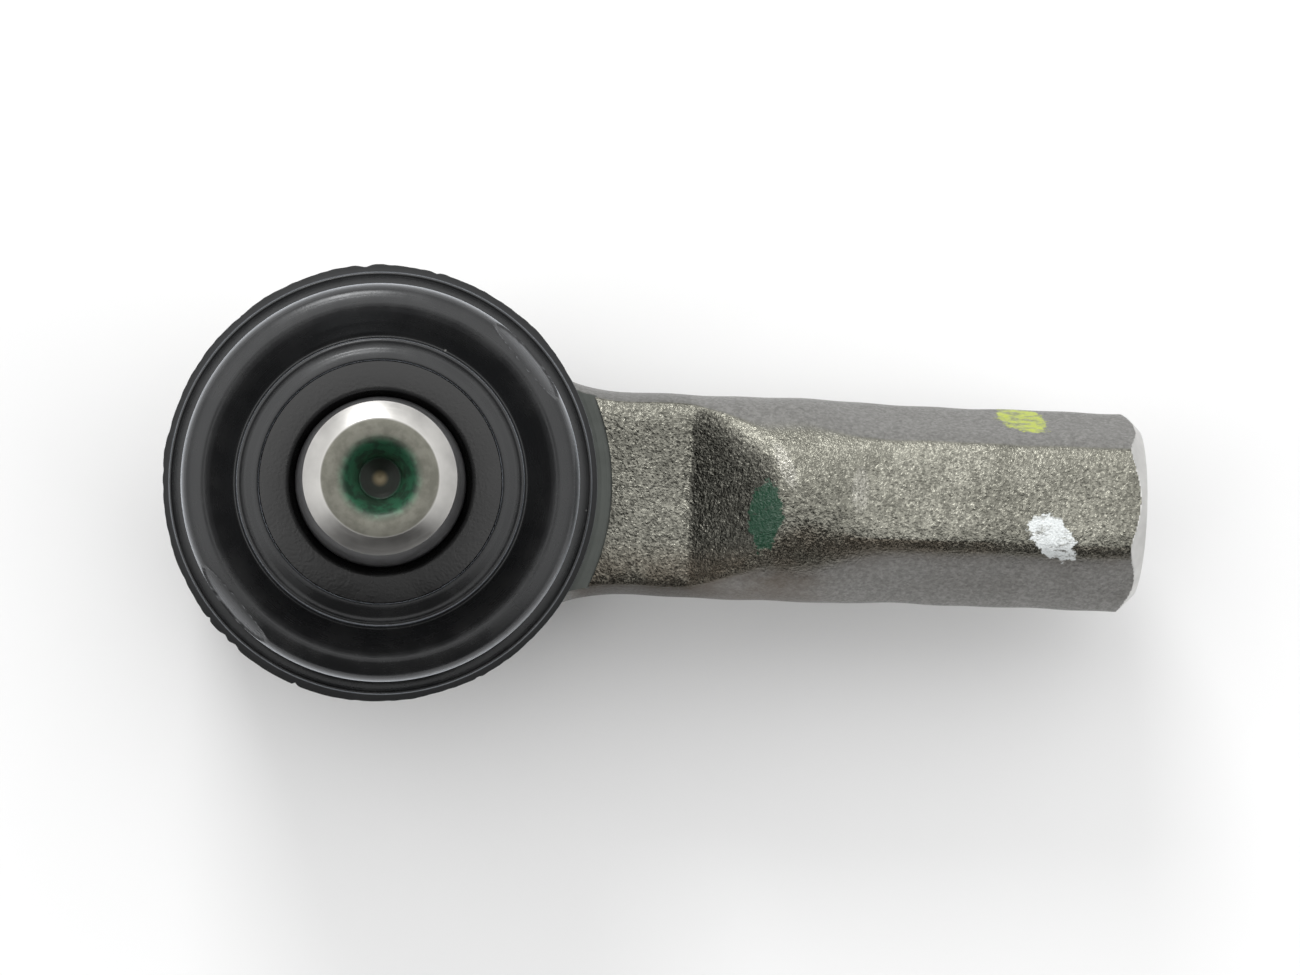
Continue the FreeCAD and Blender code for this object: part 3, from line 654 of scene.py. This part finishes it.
def ball_stud():
    """Ball, neck, taper and thread as rings about the stud's axis, then the cross hole."""
    ball, foot, neck, large_end = 12.7, 11.5, 6.75, 8.45
    crest_radius, hole_radius, hole_height = 7.0, 1.6, STUD_REACH - 6.4
    taper_start, taper_end, thread_top = 23.4, STUD_REACH - 15.5, STUD_REACH - 1.3
    small_end = large_end - (taper_end - taper_start) / 16
    lowest, highest = math.acos(-foot / ball), math.acos(math.sqrt(ball**2 - neck**2) / ball)
    outline = [(ON_AXIS, -foot)]
    outline += [(ball * math.sin(a), ball * math.cos(a)) for a in np.linspace(lowest, highest, 48)]
    outline += list(smooth_line([
        (6.9, 11.2), (neck, 12.5), (neck, 15.2), (7.3, 16.6), (8.3, 18.2), (large_end, 18.8),
    ], 5))
    outline += [(large_end, 21.0), (large_end, taper_start - 0.1), (8.43, taper_start + 0.1)]
    outline += [(8.43 - (h - taper_start) / 16, h) for h in np.linspace(taper_start + 1, taper_end, 20)]
    outline += [(small_end - 0.25, taper_end + 0.3), (small_end - 0.6, taper_end + 0.8)]
    thread_rows = np.arange(taper_end + 0.9, thread_top, THREAD_PITCH / 12)
    smooth_rows = len(outline)
    outline += [(crest_radius - THREAD_DEPTH, height) for height in thread_rows]
    bowl = [
        (3.9, 0), (3.6, 0.05), (3.3, 0.25), (3.0, 0.65), (2.6, 1.3), (2.2, 2.1), (1.95, 2.8), (1.9, 3.4),
        (0.5, 4.2),
    ]
    tip = [(7.02, thread_top), (5.5, STUD_REACH - 0.03), (5.4, STUD_REACH)]
    tip += [(wide, STUD_REACH - shaded_hole_bottom) for wide, shaded_hole_bottom in bowl] + [(0.02, STUD_REACH - 4.3)]
    outline += tip
    columns = 144
    grid = ring_grid(np.array(outline), columns)
    turn = np.linspace(0, 2 * math.pi, columns, endpoint=False)[None, :]
    rows = slice(smooth_rows, smooth_rows + len(thread_rows))
    height = thread_rows[:, None]
    run_in = step_between(taper_end + 0.9, taper_end + 2.4, height)
    crest = crest_radius - THREAD_DEPTH + thread_height(height, turn, THREAD_DEPTH) * run_in
    grid[rows, :, 0] = crest * np.cos(turn)
    grid[rows, :, 1] = crest * np.sin(turn)
    stud = shape_mesh("ball_stud_turned", *capped_grid(grid), STUD_STEEL, 30)
    outward(stud)
    drill_turn = np.linspace(0, 2 * math.pi, 48, endpoint=False)
    drill_grid = np.array([
        [(hole_radius * math.cos(a), reach, hole_height + hole_radius * math.sin(a)) for a in drill_turn]
        for reach in (-9, 9)
    ])
    drill = shape_mesh("drill", *capped_grid(drill_grid), STUD_STEEL)
    outward(drill)
    combine(stud, drill, "DIFFERENCE")
    stud.data.set_sharp_from_angle(angle=math.radians(30))
    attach(stud, "stud")
    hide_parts("ball_stud")


# ---------------------------------------------------------------- boot

BOOT_COLUMNS = 480
SPLIT_HEIGHT = 15.5
# The heights up to which the housing holds the rubber and from which the lip holds it, listed with the
# boot's pieces.
HOUSING_HOLDS_TO, LIP_HOLDS_FROM = 11.0, 18.4
# Each outline lists the points that its smooth curve goes through, as (radius, height).
OUTER_LOW = [
    (21.36, 9.06), (21.75, 9.1), (21.84, 9.4), (21.85, 9.9), (22.0, 10.02), (22.0, 10.18), (21.8, 10.32),
    (21.5, 10.55), (21.42, 10.85), (21.34, 11.02), (21.22, 11.04), (21.1, 10.98), (20.7, 10.93),
    (20.25, 10.98), (19.85, 11.15), (19.58, 11.5), (19.45, 12.3), (19.6, 13.9), (19.8, SPLIT_HEIGHT),
]
OUTER_HIGH = [
    (19.8, SPLIT_HEIGHT), (19.92, 17.0), (19.9, 18.3), (19.68, 19.2), (19.25, 19.85), (18.6, 20.22),
    (17.8, 20.42), (17.0, 20.28), (16.3, 19.88), (15.7, 19.42), (15.2, 18.98), (14.85, 18.68),
    (14.55, 18.62), (14.32, 19.0), (14.2, 20.2), (14.15, 22.4), (14.2, 23.15), (14.13, 23.46),
    (13.95, 23.56), (13.72, 23.48), (13.4, 23.48), (13.05, 23.62), (12.6, 23.80), (12.22, 23.86),
    (12.12, 23.80), (12.05, 23.6), (12.03, 23.2),
]
INNER_HIGH = [
    (12.06, 19.5), (12.3, 19.1), (13.3, 18.2), (14.5, 17.55), (15.7, 17.8), (16.6, 18.6), (17.6, 18.0),
    (18.0, SPLIT_HEIGHT),
]
INNER_LOW = [(18.0, SPLIT_HEIGHT), (17.9, 13.6), (18.3, 12.8), (18.72, 12.2), (18.72, 10.0), (21.36, 9.97)]
FLANGE_RADIUS, FLASH_INNER, FLASH_HEIGHT, FLASH_THICKNESS = 22.0, 21.8, 10.1, 0.09
# Which way the two scars on the bulge face, in degrees round and up, and how far out they lie.
SCAR_ANGLES, SCAR_LIFT, SCAR_REACH = (42.0, 222.0), 33, 26.5


def ragged_edge(turn):
    """How far the moulding flash stands out of the flange round its edge, with nicks where it tore."""
    waves = sum(
        random.uniform(0.5, 1.0) * np.sin(count * turn + random.uniform(0, 6.3)) / math.sqrt(count)
        for count in (2, 3, 5, 9, 14, 23, 37, 61, 88, 131)
    )
    amount = 0.15 + 0.12 * waves
    for _ in range(14):
        nick = random.uniform(0, 2 * math.pi)
        width = random.uniform(0.008, 0.03)
        away = np.abs((turn - nick + math.pi) % (2 * math.pi) - math.pi)
        amount = amount * (1 - 0.95 * np.exp(-((away / width) ** 2)))
    facing_shank = step_between(0.9, 0.45, np.abs((turn + math.pi) % (2 * math.pi) - math.pi))
    return np.clip(amount, 0.0, 0.26) * (1 - 0.9 * facing_shank)


def scarred(grid):
    """Two flat lens-shaped scars on the bulge's shoulder, where the mould was filled."""
    for angle in SCAR_ANGLES:
        a, lift = math.radians(angle), math.radians(SCAR_LIFT)
        normal = np.array([math.cos(a) * math.cos(lift), math.sin(a) * math.cos(lift), math.sin(lift)])
        beyond = np.maximum(grid @ normal - SCAR_REACH, 0)
        rim = 0.16 * step_between(0.0, 0.02, beyond)
        dent = 0.8 * beyond + rim - 0.05 * np.exp(-((beyond - 0.5) / 0.3) ** 2)
        grid = grid - dent[:, :, None] * normal
    return grid


def boot():
    """The rubber boot in two rings that meet round the bulge."""
    turn = np.linspace(0, 2 * math.pi, BOOT_COLUMNS, endpoint=False)
    low_outer, low_inner = smooth_line(OUTER_LOW, 4), smooth_line(INNER_LOW, 2)
    low = ring_grid(np.concatenate([low_outer, low_inner]), BOOT_COLUMNS)
    at_edge = np.hypot(low[:, :, 0], low[:, :, 1]) > FLASH_INNER
    fin = np.exp(-(((low[:, :, 2] - FLASH_HEIGHT) / FLASH_THICKNESS) ** 2)) * at_edge
    out = 1 + fin * ragged_edge(turn)[None, :] / FLANGE_RADIUS
    low[:, :, 0] *= out
    low[:, :, 1] *= out
    high_outer, high_inner = smooth_line(OUTER_HIGH, 6), smooth_line(INNER_HIGH, 4)
    high = scarred(ring_grid(np.concatenate([high_outer, high_inner]), BOOT_COLUMNS))
    for name, grid, bodies, start, end in (
        ("dust_boot_foot", low, ("housing", "boot"), HOUSING_HOLDS_TO, SPLIT_HEIGHT),
        ("dust_boot_bulge_and_lip", high, ("boot", "lip"), SPLIT_HEIGHT, LIP_HOLDS_FROM),
    ):
        faces = grid_faces(len(grid), BOOT_COLUMNS, True)
        piece = shape_mesh(name, grid.reshape(-1, 3), faces, RUBBER, 50)
        outward(piece)
        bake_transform(piece)
        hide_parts("dust_boot")


# ---------------------------------------------------------------- pieces kept from CAD

def kept_pieces():
    """CAD pieces whose shape is right get their material."""
    for node, material in (
        ("end_cover", PLATED),
        ("boot_base_ring", PLATED),
        ("preload_spring", SPRING),
        ("upper_clamp_ring", SPRING),
        ("lower_bearing_seat", ACETAL),
        ("upper_bearing_seat", ACETAL),
    ):
        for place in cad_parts[node].material_slots:
            place.material = material


def slide_ring():
    """The lip's slide ring, its top face falling slightly outwards and its mouth rounded."""
    bore, rim, bottom, top = 8.5, 11.98, 19.5, 24.2
    outline = [(bore, bottom), (rim, bottom), (rim, 23.72), (11.92, 23.81), (9.45, top - 0.02)]
    outline += [(9.2, top - 0.04), (9.05, top - 0.14), (8.95, top - 0.35), (8.75, top - 0.75)]
    outline += [(bore, top - 1.2)]
    ring = turned_ring("slide_ring_moulded", outline, 240, SLIDE_PLASTIC)
    outward(ring)
    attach(ring, "lip")
    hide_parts("lip_slide_ring")


# ---------------------------------------------------------------- stage, light, camera

def stage():
    """A pale floor that runs well past the view."""
    material, tree, shader = new_material("floor")
    place = place_of(tree)[0]
    paper = noise(tree, place, 0.02, 2.0)
    tint = blended(tree, paper, (0.835, 0.835, 0.835, 1), (0.855, 0.855, 0.855, 1))
    tree.links.new(tint, shader.inputs["Base Color"])
    shader.inputs["Roughness"].default_value = 0.9
    shader.inputs["Specular IOR Level"].default_value = 0.15
    half = 3.0
    mesh = bpy.data.meshes.new("floor")
    corners = [(-half, -half, 0), (half, -half, 0), (half, half, 0), (-half, half, 0)]
    mesh.from_pydata(corners, [], [(0, 1, 2, 3)])
    mesh.materials.append(material)
    floor = bpy.data.objects.new("floor", mesh)
    bpy.context.scene.collection.objects.link(floor)


def window():
    """A square soft box beyond the top of the picture, aimed at the part."""
    light = bpy.data.lights.new("window", "AREA")
    light.size = 0.36
    light.energy = 5.0
    lamp = bpy.data.objects.new("window", light)
    lamp.location = (-0.22, 0.95, 0.60)
    aim = Vector((0.02, 0, 0.02)) - lamp.location
    lamp.rotation_euler = aim.to_track_quat("-Z", "Y").to_euler()
    bpy.context.scene.collection.objects.link(lamp)


def room():
    """A white room, brighter higher up, dark overhead and where someone stands below the picture."""
    world = bpy.data.worlds.new("room")
    world.use_nodes = True
    tree = world.node_tree
    towards = add(tree, "ShaderNodeTexCoord").outputs["Generated"]
    x, y, z = add(tree, "ShaderNodeSeparateXYZ", Vector=towards).outputs[:3]
    walls = mapped(tree, z, 0.10, 0.85, 0.86, 1.62)
    walls = times(tree, walls, mapped(tree, y, -0.6, 0.6, 0.94, 1.06))
    walls = times(tree, walls, mapped(tree, x, -0.7, 0.7, 1.08, 0.92))
    beside = maths(tree, "ABSOLUTE", x)
    to_front = maths(tree, "MULTIPLY_ADD", beside, -0.65, times(tree, y, -1.0))
    person = mapped(tree, to_front, 0.0, 0.20)
    overhead = mapped(tree, z, 0.988, 0.998, 0.0, 0.7)
    dark = maths(tree, "MAXIMUM", person, overhead)
    light = blended(tree, dark, (1, 1, 1, 1), (0.05, 0.05, 0.05, 1))
    background = tree.nodes["Background"]
    tree.links.new(light, background.inputs["Color"])
    tree.links.new(walls, background.inputs["Strength"])
    bpy.context.scene.world = world
    bpy.context.scene.view_settings.view_transform = "Standard"


def camera():
    """Straight above the head, looking a little along the shank."""
    data = bpy.data.cameras.new("camera")
    data.sensor_width = 36
    data.lens = 125.7
    data.clip_start = 0.01
    eye = bpy.data.objects.new("camera", data)
    turn = Matrix.Identity(4)
    for degrees, axis in ((2.233, "Z"), (0.487, "X"), (-3.295, "Y")):
        turn = turn @ Matrix.Rotation(math.radians(degrees), 4, axis)
    eye.matrix_world = Matrix.Translation((0.00096, -0.00434, 0.48984)) @ turn
    bpy.context.scene.collection.objects.link(eye)
    bpy.context.scene.camera = eye


housing()
ball_stud()
boot()
slide_ring()
kept_pieces()
stage()
window()
room()
camera()

bpy.context.view_layer.update()
